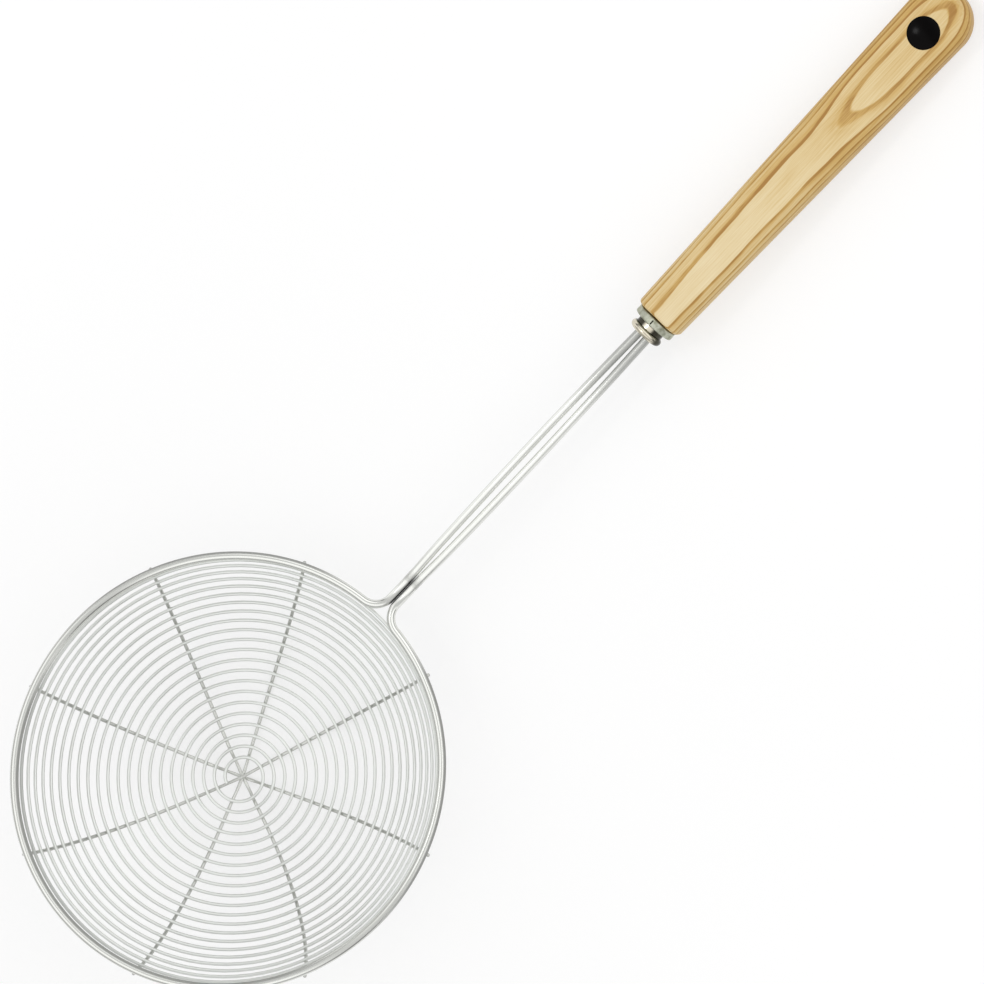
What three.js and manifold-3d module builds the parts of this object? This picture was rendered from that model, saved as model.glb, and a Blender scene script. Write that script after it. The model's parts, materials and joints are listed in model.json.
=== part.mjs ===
// Wire spider strainer with a wooden handle.
// One wire makes the hoop and both legs of the shaft. Four spokes cross under the basket, and one long
// spiral of thin wire lies on them. A two-part ferrule closes the shaft against an ash handle, which has
// a plug near its tip. Each piece is built in the hoop's own frame: origin at the hoop's centre, handle
// towards +X, bowl below. The whole is then laid down as it rests, on its basket and its handle's tip.
import * as THREE from 'three';
import { mergeVertices } from 'three/addons/utils/BufferGeometryUtils.js';
import Module from 'manifold-3d';

// Driving dimensions, in millimetres and degrees

// Hoop and shaft, bent from one wire
const frameWire = 2.5;
const hoopLength = 126.4; // outside, along the handle
const hoopWidth = 122.8; // outside, across the handle
const neckBend = 5.7; // centre line radius from hoop into shaft
const neckWeld = 8; // the legs lie together this far
const riseAngle = 10; // the shaft lifts out of the hoop's plane
const riseBend = 30;
const shaftLength = 104.2; // end of the neck bends to the ferrule
const legGapMiddle = 1.45;
const legGapFerrule = 0.4;
const tangDepth = 42; // legs inside the handle

// Basket
const spokeWire = 1.3;
const spokeArms = [[-20, 156.5], [24.5, 199.5], [66, 245.5], [111.5, 292]]; // both ends, hand laid
const spokeSweep = 1.1; // each arm bows sideways
const rimSlope = 69; // steepness of the wall at the rim
const bowlCurve = 1.47; // above 1 the bottom is flatter than a circle's
const sagAlong = -1.2; // the basket's middle lies this far off the hoop's, hand formed
const sagAcross = -0.2;
const weldAngle = 50; // spoke ends lie this far below the hoop's outer side
const crossFlat = 0.7; // spokes are pressed flat where they cross
const crossSpread = 1.15; // and widen by this factor
const crossReach = 2.4;
const crossFade = 10; // spokes are back in the bowl's wall here
const coilWire = 1;
const coilTurns = 21.5;
const coilInner = 4.6; // along the wall, from the crossing to the first turn
const coilMargin = 2; // along the wall, from the last turn to the spoke ends

// Ferrule
const collarBead = 10.3;
const collarGroove = 8.6;
const beadLength = 2.3;
const grooveLength = 1.3;
const bandDiameter = 12.7;
const bandLength = 2.3;
const bandEdge = 0.4;
const seamWidth = 0.4;
const seamLength = 1.4;
const seamDepth = 0.5;

// Handle and plug
const handleLength = 122.5;
const handleThickness = 12;
const handleWidthFerrule = 14.3;
const handleWidthTip = 19.2;
const handleEdge = 3.8; // long edges are rounded over
const endRound = 0.9; // end at the ferrule
const plugDiameter = 9.2;
const plugDepth = 4;
const plugDome = 0.6;
const plugFromTip = 14.4;

const seat = 0.3; // clearance between pieces that touch

// Resolution
const coilSides = 6;
const coilStepsPerArm = 3;
const spokeSides = 8;
const spokeSteps = 24;
const frameSides = 10;
const hoopSteps = 66;
const bendSteps = 7;
const legSteps = 12;
const roundSteps = 32;
const slotSteps = 8;
const beadSteps = 8;
const domeSteps = 6;
const edgeSteps = 5;
const tipSteps = 16;
const spokeCrowding = 1.6; // above 1 a spoke's steps crowd towards the crossing
const wallSteps = 64; // for adding up the bowl's curve
const solveSteps = 50; // halvings when an angle is searched for

const wasm = await Module();
wasm.setup();

const steel = new THREE.MeshStandardMaterial({ color: '#c9ccca', roughness: 0.25, metalness: 1 });
const brightSteel = new THREE.MeshStandardMaterial({ color: '#d7dad8', roughness: 0.2, metalness: 1 });
const nickel = new THREE.MeshStandardMaterial({ color: '#b3b09c', roughness: 0.35, metalness: 1 });
const ash = new THREE.MeshStandardMaterial({ color: '#e6cf9f', roughness: 0.6, metalness: 0 });
const black = new THREE.MeshStandardMaterial({ color: '#141414', roughness: 0.2, metalness: 0 });

const { degToRad: rad, lerp, clamp } = THREE.MathUtils;
const up = new THREE.Vector3(0, 0, 1);
const cutPast = 1; // cutters run this far out of the piece that they cut
const roundMiddle = 1 - Math.SQRT1_2; // middle of a rounded edge, as a share of its radius

// Geometry helpers

// Closed skin over rings of equal length, with a flat fan at either end
function skin(rings) {
  const count = rings[0].length;
  const positions = rings.flat().flatMap((p) => p.toArray());
  const faces = [];
  for (let r = 0; r + 1 < rings.length; r += 1) {
    for (let i = 0; i < count; i += 1) {
      const a = r * count + i;
      const b = r * count + (i + 1) % count;
      faces.push(a, b, a + count, b, b + count, a + count);
    }
  }
  const last = (rings.length - 1) * count;
  for (let i = 1; i + 1 < count; i += 1) {
    faces.push(0, i + 1, i, last, last + i, last + i + 1);
  }
  const geometry = new THREE.BufferGeometry();
  geometry.setAttribute('position', new THREE.Float32BufferAttribute(positions, 3));
  geometry.setIndex(faces);
  geometry.computeVertexNormals();
  return geometry;
}

// Wire along a row of points; wide and high give its half sizes at each point
function sweep(points, sideways, sides, wide, high = wide) {
  const rings = points.map((point, i) => {
    const before = points[Math.max(i - 1, 0)];
    const after = points[Math.min(i + 1, points.length - 1)];
    const along = after.clone().sub(before).normalize();
    const across = sideways.clone().addScaledVector(along, -sideways.dot(along)).normalize();
    const over = along.clone().cross(across);
    return Array.from({ length: sides }, (_, k) => {
      const turn = (2 * Math.PI * k) / sides;
      return point.clone()
        .addScaledVector(across, wide(i) * Math.cos(turn))
        .addScaledVector(over, high(i) * Math.sin(turn));
    });
  });
  return skin(rings);
}

function toSolid(geometry) {
  const bare = geometry.clone();
  bare.deleteAttribute('normal');
  bare.deleteAttribute('uv');
  const merged = mergeVertices(bare);
  const corners = merged.index.array;
  const faces = [];
  for (let i = 0; i < corners.length; i += 3) {
    const [a, b, c] = corners.slice(i, i + 3);
    if (a !== b && b !== c && c !== a) faces.push(a, b, c);
  }
  return new wasm.Manifold(new wasm.Mesh({
    numProp: 3,
    vertProperties: new Float32Array(merged.attributes.position.array),
    triVerts: new Uint32Array(faces),
  }));
}

function toGeometry(solid) {
  const mesh = solid.getMesh();
  const geometry = new THREE.BufferGeometry();
  geometry.setAttribute('position', new THREE.Float32BufferAttribute(mesh.vertProperties, 3));
  geometry.setIndex(Array.from(mesh.triVerts));
  geometry.computeVertexNormals();
  return geometry;
}

function cut(geometry, ...cutters) {
  const solid = cutters.reduce((body, cutter) => body.subtract(toSolid(cutter)), toSolid(geometry));
  return toGeometry(solid);
}

function piece(name, geometry, material) {
  const mesh = new THREE.Mesh(geometry, material);
  mesh.name = name;
  return mesh;
}

// Turned body about X from a profile of (x, radius) pairs that starts and ends on the axis
function turned(profile) {
  const points = profile.map(([x, radius]) => new THREE.Vector2(radius, x));
  return new THREE.LatheGeometry(points, roundSteps).rotateZ(-Math.PI / 2);
}

// Hoop and shaft

const hoopX = hoopLength / 2 - frameWire / 2; // centre line half lengths
const hoopY = hoopWidth / 2 - frameWire / 2;
const legAtNeck = frameWire / 2 + seat / 2;
const legAtFerrule = frameWire / 2 + legGapFerrule / 2;
const rise = rad(riseAngle);

function hoopRadius(angle) {
  return 1 / Math.hypot(Math.cos(angle) / hoopX, Math.sin(angle) / hoopY);
}

// The neck bend leaves the hoop at this ellipse angle and ends along the handle, one leg beside the other
function neckAngle() {
  let low = 0;
  let high = Math.PI / 4;
  for (let i = 0; i < solveSteps; i += 1) {
    const t = (low + high) / 2;
    const lean = (hoopX * Math.sin(t)) / Math.hypot(hoopX * Math.sin(t), hoopY * Math.cos(t));
    const end = hoopY * Math.sin(t) + neckBend * (lean - 1);
    if (end < legAtNeck) low = t;
    else high = t;
  }
  return (low + high) / 2;
}

const neckStart = neckAngle();
const hoopNormal = new THREE.Vector2(hoopY * Math.cos(neckStart), hoopX * Math.sin(neckStart)).normalize();
const bendCentre = new THREE.Vector2(hoopX * Math.cos(neckStart), hoopY * Math.sin(neckStart))
  .addScaledVector(hoopNormal, neckBend);
const neckX = bendCentre.x;

// Frame at a distance along the shaft, which first bends up and then runs straight
function shaftFrame(distance) {
  const bent = Math.min(distance, riseBend * rise);
  const angle = bent / riseBend;
  const straight = distance - bent;
  const x = neckX + riseBend * Math.sin(angle) + straight * Math.cos(angle);
  const z = riseBend * (1 - Math.cos(angle)) + straight * Math.sin(angle);
  return new THREE.Matrix4().makeRotationY(-angle).setPosition(x, 0, z);
}

// Half distance between the legs' centre lines: together at the neck, apart in the middle
function legOffset(distance) {
  const t = clamp((distance - neckWeld) / (shaftLength - neckWeld), 0, 1);
  const middle = frameWire / 2 + legGapMiddle / 2;
  const bow = middle - (legAtNeck + legAtFerrule) / 2;
  return lerp(legAtNeck, legAtFerrule, t) + 4 * bow * t * (1 - t);
}

const ferruleLength = beadLength + grooveLength + seat + bandLength + seat;
const woodStart = shaftLength + ferruleLength;

function frameWireGeometry() {
  const legEnd = woodStart + tangDepth;
  const stops = [legEnd, woodStart, shaftLength];
  for (let i = 1; i < legSteps; i += 1) {
    stops.push(lerp(shaftLength, neckWeld, i / legSteps));
  }
  for (let i = 0; i < bendSteps; i += 1) stops.push(neckWeld * (1 - i / bendSteps));
  const half = stops.map((d) => new THREE.Vector3(0, legOffset(d), 0).applyMatrix4(shaftFrame(d)));
  const turn = Math.atan2(hoopNormal.x, hoopNormal.y);
  for (let i = 0; i < bendSteps; i += 1) {
    const a = (turn * i) / bendSteps;
    half.push(new THREE.Vector3(
      bendCentre.x - neckBend * Math.sin(a),
      bendCentre.y - neckBend * Math.cos(a),
      0,
    ));
  }
  const hoop = [];
  for (let i = 0; i <= hoopSteps; i += 1) {
    const t = lerp(neckStart, 2 * Math.PI - neckStart, i / hoopSteps);
    hoop.push(new THREE.Vector3(hoopX * Math.cos(t), hoopY * Math.sin(t), 0));
  }
  const otherLeg = half.map((p) => new THREE.Vector3(p.x, -p.y, p.z)).reverse();
  return sweep([...half, ...hoop, ...otherLeg], up, frameSides, () => frameWire / 2);
}

// Basket

const weldDistance = frameWire / 2 + spokeWire / 2 + seat;
const weldDrop = weldDistance * Math.sin(rad(weldAngle));

function wallSlope(share) {
  return rad(rimSlope) * share ** bowlCurve;
}

// Reach and rise of the wall up to a share of its length, for a wall one unit long
function wallPoint(share) {
  let reach = 0;
  let lift = 0;
  for (let i = 0; i < wallSteps; i += 1) {
    const slope = wallSlope((share * (i + 0.5)) / wallSteps);
    reach += (Math.cos(slope) * share) / wallSteps;
    lift += (Math.sin(slope) * share) / wallSteps;
  }
  return { reach, lift };
}

const rim = wallPoint(1);

function rimReach(angle) {
  return hoopRadius(angle) + weldDistance * Math.cos(rad(weldAngle));
}

const wallLength = rimReach(Math.PI / 4) / rim.reach;
const bowlDepth = wallLength * rim.lift;

// Point of the wall on an arm, moved off along its inner normal
function onWall(angle, share, offset) {
  const { reach, lift } = wallPoint(share);
  const slope = wallSlope(share);
  const radius = (rimReach(angle) * reach) / rim.reach - offset * Math.sin(slope);
  const z = wallLength * lift - bowlDepth - weldDrop + offset * Math.cos(slope);
  const bow = spokeSweep * Math.sin(Math.PI * share);
  return new THREE.Vector3(
    radius * Math.cos(angle) - bow * Math.sin(angle) + sagAlong * (1 - share),
    radius * Math.sin(angle) + bow * Math.cos(angle) + sagAcross * (1 - share),
    z,
  );
}

function spokeGeometry(arms, level) {
  const shares = Array.from({ length: spokeSteps + 1 }, (_, i) => (i / spokeSteps) ** spokeCrowding);
  const points = [];
  const flats = [];
  const addPoint = (angle, share) => {
    const along = share * wallLength;
    const point = onWall(angle, share, 0);
    const dipped = 1 - THREE.MathUtils.smoothstep(along, crossReach, crossFade);
    point.z -= level * (crossFlat + seat) * dipped;
    points.push(point);
    flats.push(1 - THREE.MathUtils.smoothstep(along, crossReach, 2 * crossReach));
  };
  shares.slice(1).reverse().forEach((share) => addPoint(rad(arms[0]), share));
  shares.forEach((share) => addPoint(rad(arms[1]), share));
  const heading = rad((arms[0] + arms[1] - 180) / 2);
  const sideways = new THREE.Vector3(-Math.sin(heading), Math.cos(heading), 0);
  const half = spokeWire / 2;
  const wide = (i) => half * lerp(1, crossSpread, flats[i]);
  const high = (i) => lerp(half, crossFlat / 2, flats[i]);
  return sweep(points, sideways, spokeSides, wide, high);
}

// Angles of the coil's steps over one turn, clockwise from the arm that carries its inner end
function coilAngles() {
  const start = spokeArms[0][1];
  const arms = spokeArms.flat().map((arm) => ((start - arm) % 360 + 360) % 360).sort((a, b) => a - b);
  return arms.flatMap((arm, i) => {
    const next = arms[i + 1] ?? 360;
    return Array.from({ length: coilStepsPerArm }, (_, k) => {
      return rad(start - lerp(arm, next, k / coilStepsPerArm));
    });
  });
}

function coilPoints() {
  const angles = coilAngles();
  const steps = Math.round(coilTurns * angles.length);
  const first = coilInner / wallLength;
  const last = 1 - coilMargin / wallLength;
  const offset = spokeWire / 2 + coilWire / 2 + seat;
  return Array.from({ length: steps + 1 }, (_, i) => {
    return onWall(angles[i % angles.length], lerp(first, last, i / steps), offset);
  });
}

// Least gap between turns, from the points of each turn to the wire one turn or more away
function leastGap(points, turnSteps) {
  let least = Infinity;
  const line = new THREE.Line3();
  const nearest = new THREE.Vector3();
  points.forEach((point, i) => {
    for (let j = i + turnSteps / 2; j + 1 < points.length; j += 1) {
      line.set(points[j], points[j + 1]).closestPointToPoint(point, true, nearest);
      least = Math.min(least, nearest.distanceTo(point));
    }
  });
  return least - coilWire;
}

const coil = coilPoints();
console.log(`basket coil: least gap to itself ${leastGap(coil, coilAngles().length).toFixed(2)} mm`);

// Ferrule, in the frame of the shaft's axis with x from the bead towards the wood

// Slot for both legs, a straight oval bore along x
function legSlot(from, to) {
  const radius = frameWire / 2 + seat;
  const oval = new THREE.Shape();
  oval.absarc(legAtFerrule, 0, radius, -Math.PI / 2, Math.PI / 2);
  oval.absarc(-legAtFerrule, 0, radius, Math.PI / 2, (3 * Math.PI) / 2);
  const options = { depth: to - from, bevelEnabled: false, curveSegments: slotSteps };
  const slot = new THREE.ExtrudeGeometry(oval, options);
  return slot.applyMatrix4(new THREE.Matrix4().set(
    0, 0, 1, from,
    1, 0, 0, 0,
    0, 1, 0, 0,
    0, 0, 0, 1,
  ));
}

function collarGeometry() {
  const swell = beadLength / 2;
  const bead = Array.from({ length: beadSteps + 1 }, (_, i) => {
    const turn = (Math.PI * i) / beadSteps;
    return [swell - swell * Math.cos(turn), collarBead / 2 - swell * (1 - Math.sin(turn))];
  });
  const end = beadLength + grooveLength;
  const body = turned([
    [0, 0],
    ...bead,
    [beadLength, collarGroove / 2],
    [end, collarGroove / 2],
    [end, 0],
  ]);
  return cut(body, legSlot(-cutPast, end + cutPast));
}

function bandGeometry() {
  const radius = bandDiameter / 2;
  const edgeMiddle = bandEdge * roundMiddle;
  const body = turned([
    [0, 0],
    [0, radius - bandEdge],
    [edgeMiddle, radius - edgeMiddle],
    [bandEdge, radius],
    [bandLength - bandEdge, radius],
    [bandLength - edgeMiddle, radius - edgeMiddle],
    [bandLength, radius - bandEdge],
    [bandLength, 0],
  ]);
  const seam = new THREE.BoxGeometry(seamLength, seamWidth, 2 * seamDepth);
  seam.translate(bandLength / 2, 0, radius);
  return cut(body, legSlot(-cutPast, bandLength + cutPast), seam);
}

// Handle, with x from its end at the ferrule towards the tip

const tipRadius = handleWidthTip / 2;
const tipCentre = handleLength - tipRadius;

// Outline of the handle seen from above, drawn in by an inset
function handleRing(inset, z) {
  const backed = endRound * (inset / handleEdge);
  const startHalf = handleWidthFerrule / 2 - inset;
  const tip = tipRadius - inset;
  const corner = [
    [backed + endRound, startHalf],
    [backed + endRound * roundMiddle, startHalf - endRound * roundMiddle],
    [backed, startHalf - endRound],
  ];
  const ring = corner.map(([x, y]) => [x, -y]).reverse();
  for (let i = 0; i <= tipSteps; i += 1) {
    const turn = Math.PI * (i / tipSteps - 0.5);
    ring.push([tipCentre + tip * Math.cos(turn), tip * Math.sin(turn)]);
  }
  ring.push(...corner);
  return ring.map(([x, y]) => new THREE.Vector3(x, y, z));
}

function handleGeometry() {
  const wall = handleThickness / 2 - handleEdge;
  const lower = [];
  const upper = [];
  for (let i = 0; i <= edgeSteps; i += 1) {
    const turn = (Math.PI / 2) * (i / edgeSteps);
    const inset = handleEdge * (1 - Math.cos(turn));
    const z = wall + handleEdge * Math.sin(turn);
    lower.unshift(handleRing(inset, -z));
    upper.push(handleRing(inset, z));
  }
  const recessRadius = plugDiameter / 2 + seat;
  const recess = new THREE.CylinderGeometry(recessRadius, recessRadius, 2 * (plugDepth + seat), roundSteps);
  recess.rotateX(Math.PI / 2).translate(handleLength - plugFromTip, 0, handleThickness / 2);
  return cut(skin([...lower, ...upper]), legSlot(-cutPast, tangDepth + seat), recess);
}

// Domed plug, flush with the wood at its edge
function plugGeometry() {
  const radius = plugDiameter / 2;
  const dome = Array.from({ length: domeSteps + 1 }, (_, i) => {
    const share = 1 - i / domeSteps;
    return [plugDome * (1 - share ** 2), radius * share];
  });
  const plug = toGeometry(toSolid(turned([[-plugDepth, 0], [-plugDepth, radius], ...dome])));
  return plug.rotateY(-Math.PI / 2);
}

// Assembly

const strainer = new THREE.Group();
strainer.add(piece('frame_wire', frameWireGeometry(), steel));
strainer.add(piece('basket_coil', sweep(coil, up, coilSides, () => coilWire / 2), brightSteel));
spokeArms.forEach((arms, i) => {
  strainer.add(piece(`spoke_${i + 1}`, spokeGeometry(arms, i), steel));
});

const grip = new THREE.Group();
grip.applyMatrix4(shaftFrame(woodStart));
const collar = piece('ferrule_collar', collarGeometry(), nickel);
collar.position.x = -ferruleLength;
const band = piece('ferrule_band', bandGeometry(), nickel);
band.position.x = -seat - bandLength;
const handle = piece('handle', handleGeometry(), ash);
const plug = piece('end_plug', plugGeometry(), black);
plug.position.set(handleLength - plugFromTip, 0, handleThickness / 2);
grip.add(collar, band, handle, plug);
strainer.add(grip);

// Lowest point of a piece for a tilt of the whole about Y
function lowest(mesh, tilt) {
  mesh.updateWorldMatrix(true, false);
  const positions = mesh.geometry.attributes.position;
  const point = new THREE.Vector3();
  let least = Infinity;
  for (let i = 0; i < positions.count; i += 1) {
    point.fromBufferAttribute(positions, i).applyMatrix4(mesh.matrixWorld);
    least = Math.min(least, point.z * Math.cos(tilt) - point.x * Math.sin(tilt));
  }
  return least;
}

// Tilt at which the basket and the handle's tip meet the table together
function restingTilt() {
  const wires = strainer.children.filter((child) => child.isMesh);
  let low = 0;
  let high = Math.PI / 4;
  for (let i = 0; i < solveSteps; i += 1) {
    const tilt = (low + high) / 2;
    const basket = Math.min(...wires.map((wire) => lowest(wire, tilt)));
    if (lowest(handle, tilt) > basket) low = tilt;
    else high = tilt;
  }
  return (low + high) / 2;
}

strainer.rotation.y = restingTilt();
const box = new THREE.Box3().setFromObject(strainer, true);
const centre = box.getCenter(new THREE.Vector3());
strainer.position.set(-centre.x, -centre.y, -box.min.z);

const part = new THREE.Group();
part.add(strainer);

export default part;
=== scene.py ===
import json
import math
import bmesh
import bpy
from mathutils import Matrix, Vector


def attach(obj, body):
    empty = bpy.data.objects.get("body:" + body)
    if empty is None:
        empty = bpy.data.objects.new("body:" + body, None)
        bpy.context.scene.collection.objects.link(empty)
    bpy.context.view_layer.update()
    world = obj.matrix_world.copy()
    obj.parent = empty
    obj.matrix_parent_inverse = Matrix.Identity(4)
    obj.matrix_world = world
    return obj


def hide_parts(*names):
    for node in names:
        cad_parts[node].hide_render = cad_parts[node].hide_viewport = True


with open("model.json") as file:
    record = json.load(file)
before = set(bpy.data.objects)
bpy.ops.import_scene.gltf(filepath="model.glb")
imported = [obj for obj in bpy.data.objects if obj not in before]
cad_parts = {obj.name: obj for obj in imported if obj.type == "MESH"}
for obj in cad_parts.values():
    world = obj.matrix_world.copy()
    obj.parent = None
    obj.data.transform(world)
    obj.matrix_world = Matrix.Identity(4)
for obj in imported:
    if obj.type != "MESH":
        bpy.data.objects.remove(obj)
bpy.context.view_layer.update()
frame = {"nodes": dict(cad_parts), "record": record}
scene = bpy.context.scene
print("frame: ", len(frame["nodes"]), "solids loaded")

mm = 0.001  # sizes are in millimetres, unless a note says metres


# hoop, shaft and tang, bent from one wire
frameWire = {
    "wire": 2.5,
    "hoopLength": 126.4,  # outside, along the handle
    "hoopWidth": 122.8,
    "neckBend": 5.7,
    "neckWeld": 8.0,  # the legs lie together this far
    "riseAngle": math.radians(10),
    "riseBend": 30.0,
    "shaftLength": 104.2,
    "legGapMiddle": 1.45,
    "legGapFerrule": 0.4,
    "pinch": 0.13,  # the weld draws the legs together at the neck
    "pinchFade": 14.0,
    "tangDepth": 42.0,
    "neckHalvings": 50,
    "hoopSteps": 220,
    "bendSteps": 14,
    "legSteps": 36,
    "sides": 24,
    "endRound": 0.3,
    "smoothAngle": 40,
}
# ferrule lengths along the shaft
ferrule = {
    "beadDiameter": 10.3,
    "grooveDiameter": 8.6,
    "beadLength": 2.3,
    "grooveLength": 1.3,
    "bandDiameter": 12.7,
    "bandLength": 2.3,
    "bandEdge": 0.4,
    "seamLength": 1.4,
    "seamDepth": 0.5,
    "darkFrom": (-0.4, -0.1),  # from the bead's end
    # the groove's top is left bright as a painted highlight, and the bead's lower flank is darkened as
    # painted shade
    "paintedHighlightTop": (1.0, 2.0),
    "darkFlank": (2.9, 4.2),
    "rounds": 96,  # one facet of the band is as wide as its seam
    "beadSteps": 12,
    "edgeSteps": 4,
    "smoothAngle": 35,
}
seat = 0.3  # clearance between pieces that touch

hoopX = (frameWire["hoopLength"] - frameWire["wire"]) / 2
hoopY = (frameWire["hoopWidth"] - frameWire["wire"]) / 2
legAtNeck = (frameWire["wire"] + seat) / 2
legAtFerrule = (frameWire["wire"] + frameWire["legGapFerrule"]) / 2
legAtMiddle = (frameWire["wire"] + frameWire["legGapMiddle"]) / 2
legBore = frameWire["wire"] / 2 + seat
ferruleLength = ferrule["beadLength"] + ferrule["grooveLength"] + ferrule["bandLength"] + 2 * seat
woodStart = frameWire["shaftLength"] + ferruleLength


def neckAngle():
    # where the hoop has to stop so that the neck bends bring the legs side by side
    low, high = 0.0, math.pi / 4
    for _ in range(frameWire["neckHalvings"]):
        angle = (low + high) / 2
        lean = hoopX * math.sin(angle) / math.hypot(hoopX * math.sin(angle), hoopY * math.cos(angle))
        if hoopY * math.sin(angle) + frameWire["neckBend"] * (lean - 1) < legAtNeck:
            low = angle
        else:
            high = angle
    return (low + high) / 2


neckStart = neckAngle()
neckNormal = Vector((hoopY * math.cos(neckStart), hoopX * math.sin(neckStart), 0)).normalized()
neckCentre = Vector((hoopX * math.cos(neckStart), hoopY * math.sin(neckStart), 0))
neckCentre += neckNormal * frameWire["neckBend"]


def shaftFrame(distance):
    # bends up out of the hoop's plane, then runs straight
    bent = min(distance, frameWire["riseBend"] * frameWire["riseAngle"])
    angle = bent / frameWire["riseBend"]
    straight = distance - bent
    x = neckCentre.x + frameWire["riseBend"] * math.sin(angle) + straight * math.cos(angle)
    z = frameWire["riseBend"] * (1 - math.cos(angle)) + straight * math.sin(angle)
    return Matrix.Translation((x, 0, z)) @ Matrix.Rotation(-angle, 4, "Y")


# the record's mount under the handle says how the whole strainer lies
gripPoint = {"along": 66.0, "under": 6.0}
mount = frame["record"]["mounts"][0]
gripUp = -Vector(mount["axis"]).normalized()
gripAcross = Vector((0, 1, 0))
gripAlong = gripAcross.cross(gripUp)
gripOrigin = Vector(mount["pos_m"]) + (gripUp * gripPoint["under"] - gripAlong * gripPoint["along"]) * mm
gripToWorld = Matrix((gripAlong, gripAcross, gripUp)).transposed().to_4x4()
gripToWorld.translation = gripOrigin
gripToWorld = gripToWorld @ Matrix.Scale(mm, 4)
hoopToWorld = gripToWorld @ shaftFrame(woodStart).inverted()
print("frame: hoop centre at", [round(value, 4) for value in hoopToWorld.translation])


# materials

def colour(text):
    # sRGB hex to linear
    channels = [int(text[i:i + 2], 16) / 255 for i in (1, 3, 5)]
    linear = [c / 12.92 if c <= 0.04045 else ((c + 0.055) / 1.055) ** 2.4 for c in channels]
    return (*linear, 1.0)


def addNode(tree, kind, links=None, **settings):
    node = tree.nodes.new("ShaderNode" + kind)
    for key, value in settings.items():
        setattr(node, key, value)
    for socket, value in (links or {}).items():
        if isinstance(value, bpy.types.NodeSocket):
            tree.links.new(value, node.inputs[socket])
        else:
            node.inputs[socket].default_value = value
    return node


def newMaterial(name):
    material = bpy.data.materials.new(name)
    material.use_nodes = True
    tree = material.node_tree
    tree.nodes.clear()
    output = addNode(tree, "OutputMaterial")
    return material, tree, output


def perMetre(size):
    # texture scale for a pattern whose features are this many millimetres across
    return 1 / (size * mm)


def grainScale(length, width):
    # texture scale for features this long along x and this wide across it
    return perMetre(length), perMetre(width), perMetre(width)


def roughRange(settings):
    # a noise spreads the roughness to either side
    middle, spread = settings["roughness"], settings["roughSpread"]
    return {"To Min": middle - spread, "To Max": middle + spread}


def drawnWire(name, settings):
    # stainless wire, drawn through a die and polished: near mirror, with faint lines along its length,
    # drawn coarser than real ones, and dull and dark where welding or soldering heated it; the same dark tone
    # is also painted on as shade where the wire lies in shade or reflects dark surroundings
    material, tree, output = newMaterial(name)
    uv = addNode(tree, "UVMap", uv_map="wire")
    lines = addNode(tree, "Mapping", {
        "Vector": uv.outputs["UV"],
        "Scale": (perMetre(settings["lineLength"]), perMetre(settings["lineWidth"]), 1),
    })
    drawLines = addNode(tree, "TexNoise", {
        "Vector": lines.outputs["Vector"], "Scale": 1.0, "Detail": 3.0,
    })
    coords = addNode(tree, "TexCoord")
    stain = addNode(tree, "TexNoise", {
        "Vector": coords.outputs["Object"], "Scale": perMetre(settings["stainSize"]), "Detail": 2.0,
    })
    # a mix node's sockets repeat their names, so its colours are set by place
    tint = addNode(tree, "Mix", {
        "Factor": stain.outputs["Fac"], 6: colour(settings["colour"]), 7: colour(settings["stain"]),
    }, data_type="RGBA")
    # one mask for weld scale and painted shade
    oxideAndShade = addNode(tree, "Attribute", attribute_name="oxideAndShade")
    oxidised = addNode(tree, "Mix", {
        "Factor": oxideAndShade.outputs["Fac"], 6: tint.outputs[2], 7: colour(settings["scaleAndShade"]),
    }, data_type="RGBA")
    rough = addNode(tree, "MapRange", {"Value": drawLines.outputs["Fac"], **roughRange(settings)})
    dulled = addNode(tree, "Math", {
        0: oxideAndShade.outputs["Fac"], 1: settings["oxideAndShadeRoughness"], 2: rough.outputs["Result"],
    }, operation="MULTIPLY_ADD")
    bare = addNode(tree, "Math", {0: 1.0, 1: oxideAndShade.outputs["Fac"]}, operation="SUBTRACT")
    bump = addNode(tree, "Bump", {
        "Height": drawLines.outputs["Fac"], "Strength": settings["bump"],
        "Distance": settings["lineDepth"] * mm,
    })
    shader = addNode(tree, "BsdfPrincipled", {
        "Base Color": oxidised.outputs[2],
        "Metallic": bare.outputs["Value"],
        "Roughness": dulled.outputs["Value"],
        "Specular IOR Level": settings["scaleAndShadeGloss"],
        "Normal": bump.outputs["Normal"],
    })
    tree.links.new(shader.outputs["BSDF"], output.inputs["Surface"])
    return material


# wires

def wirePlaces(points, sideways, wide, high):
    # one matrix for each point: its first two columns span the wire's section
    places = []
    for i, point in enumerate(points):
        along = (points[min(i + 1, len(points) - 1)] - points[max(i - 1, 0)]).normalized()
        across = (sideways - along * sideways.dot(along)).normalized()
        over = along.cross(across)
        place = Matrix((across * wide[i], over * high[i], along)).transposed().to_4x4()
        place.translation = point
        places.append(place)
    return places


def finishPiece(bm, name, place, material, node, smoothAngle):
    bmesh.ops.transform(bm, matrix=place, verts=bm.verts)
    mesh = bpy.data.meshes.new(name)
    bm.to_mesh(mesh)
    bm.free()
    mesh.shade_smooth()
    mesh.set_sharp_from_angle(angle=math.radians(smoothAngle))
    piece = bpy.data.objects.new(name, mesh)
    scene.collection.objects.link(piece)
    mesh.materials.append(material)
    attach(piece, "root")
    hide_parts(node)
    return piece


def smoothStep(value, low, high):
    t = min(max((value - low) / (high - low), 0.0), 1.0)
    return t * t * (3 - 2 * t)


endSegments = 3  # rounding of a cut end
mergeDistance = 0.001


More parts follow.
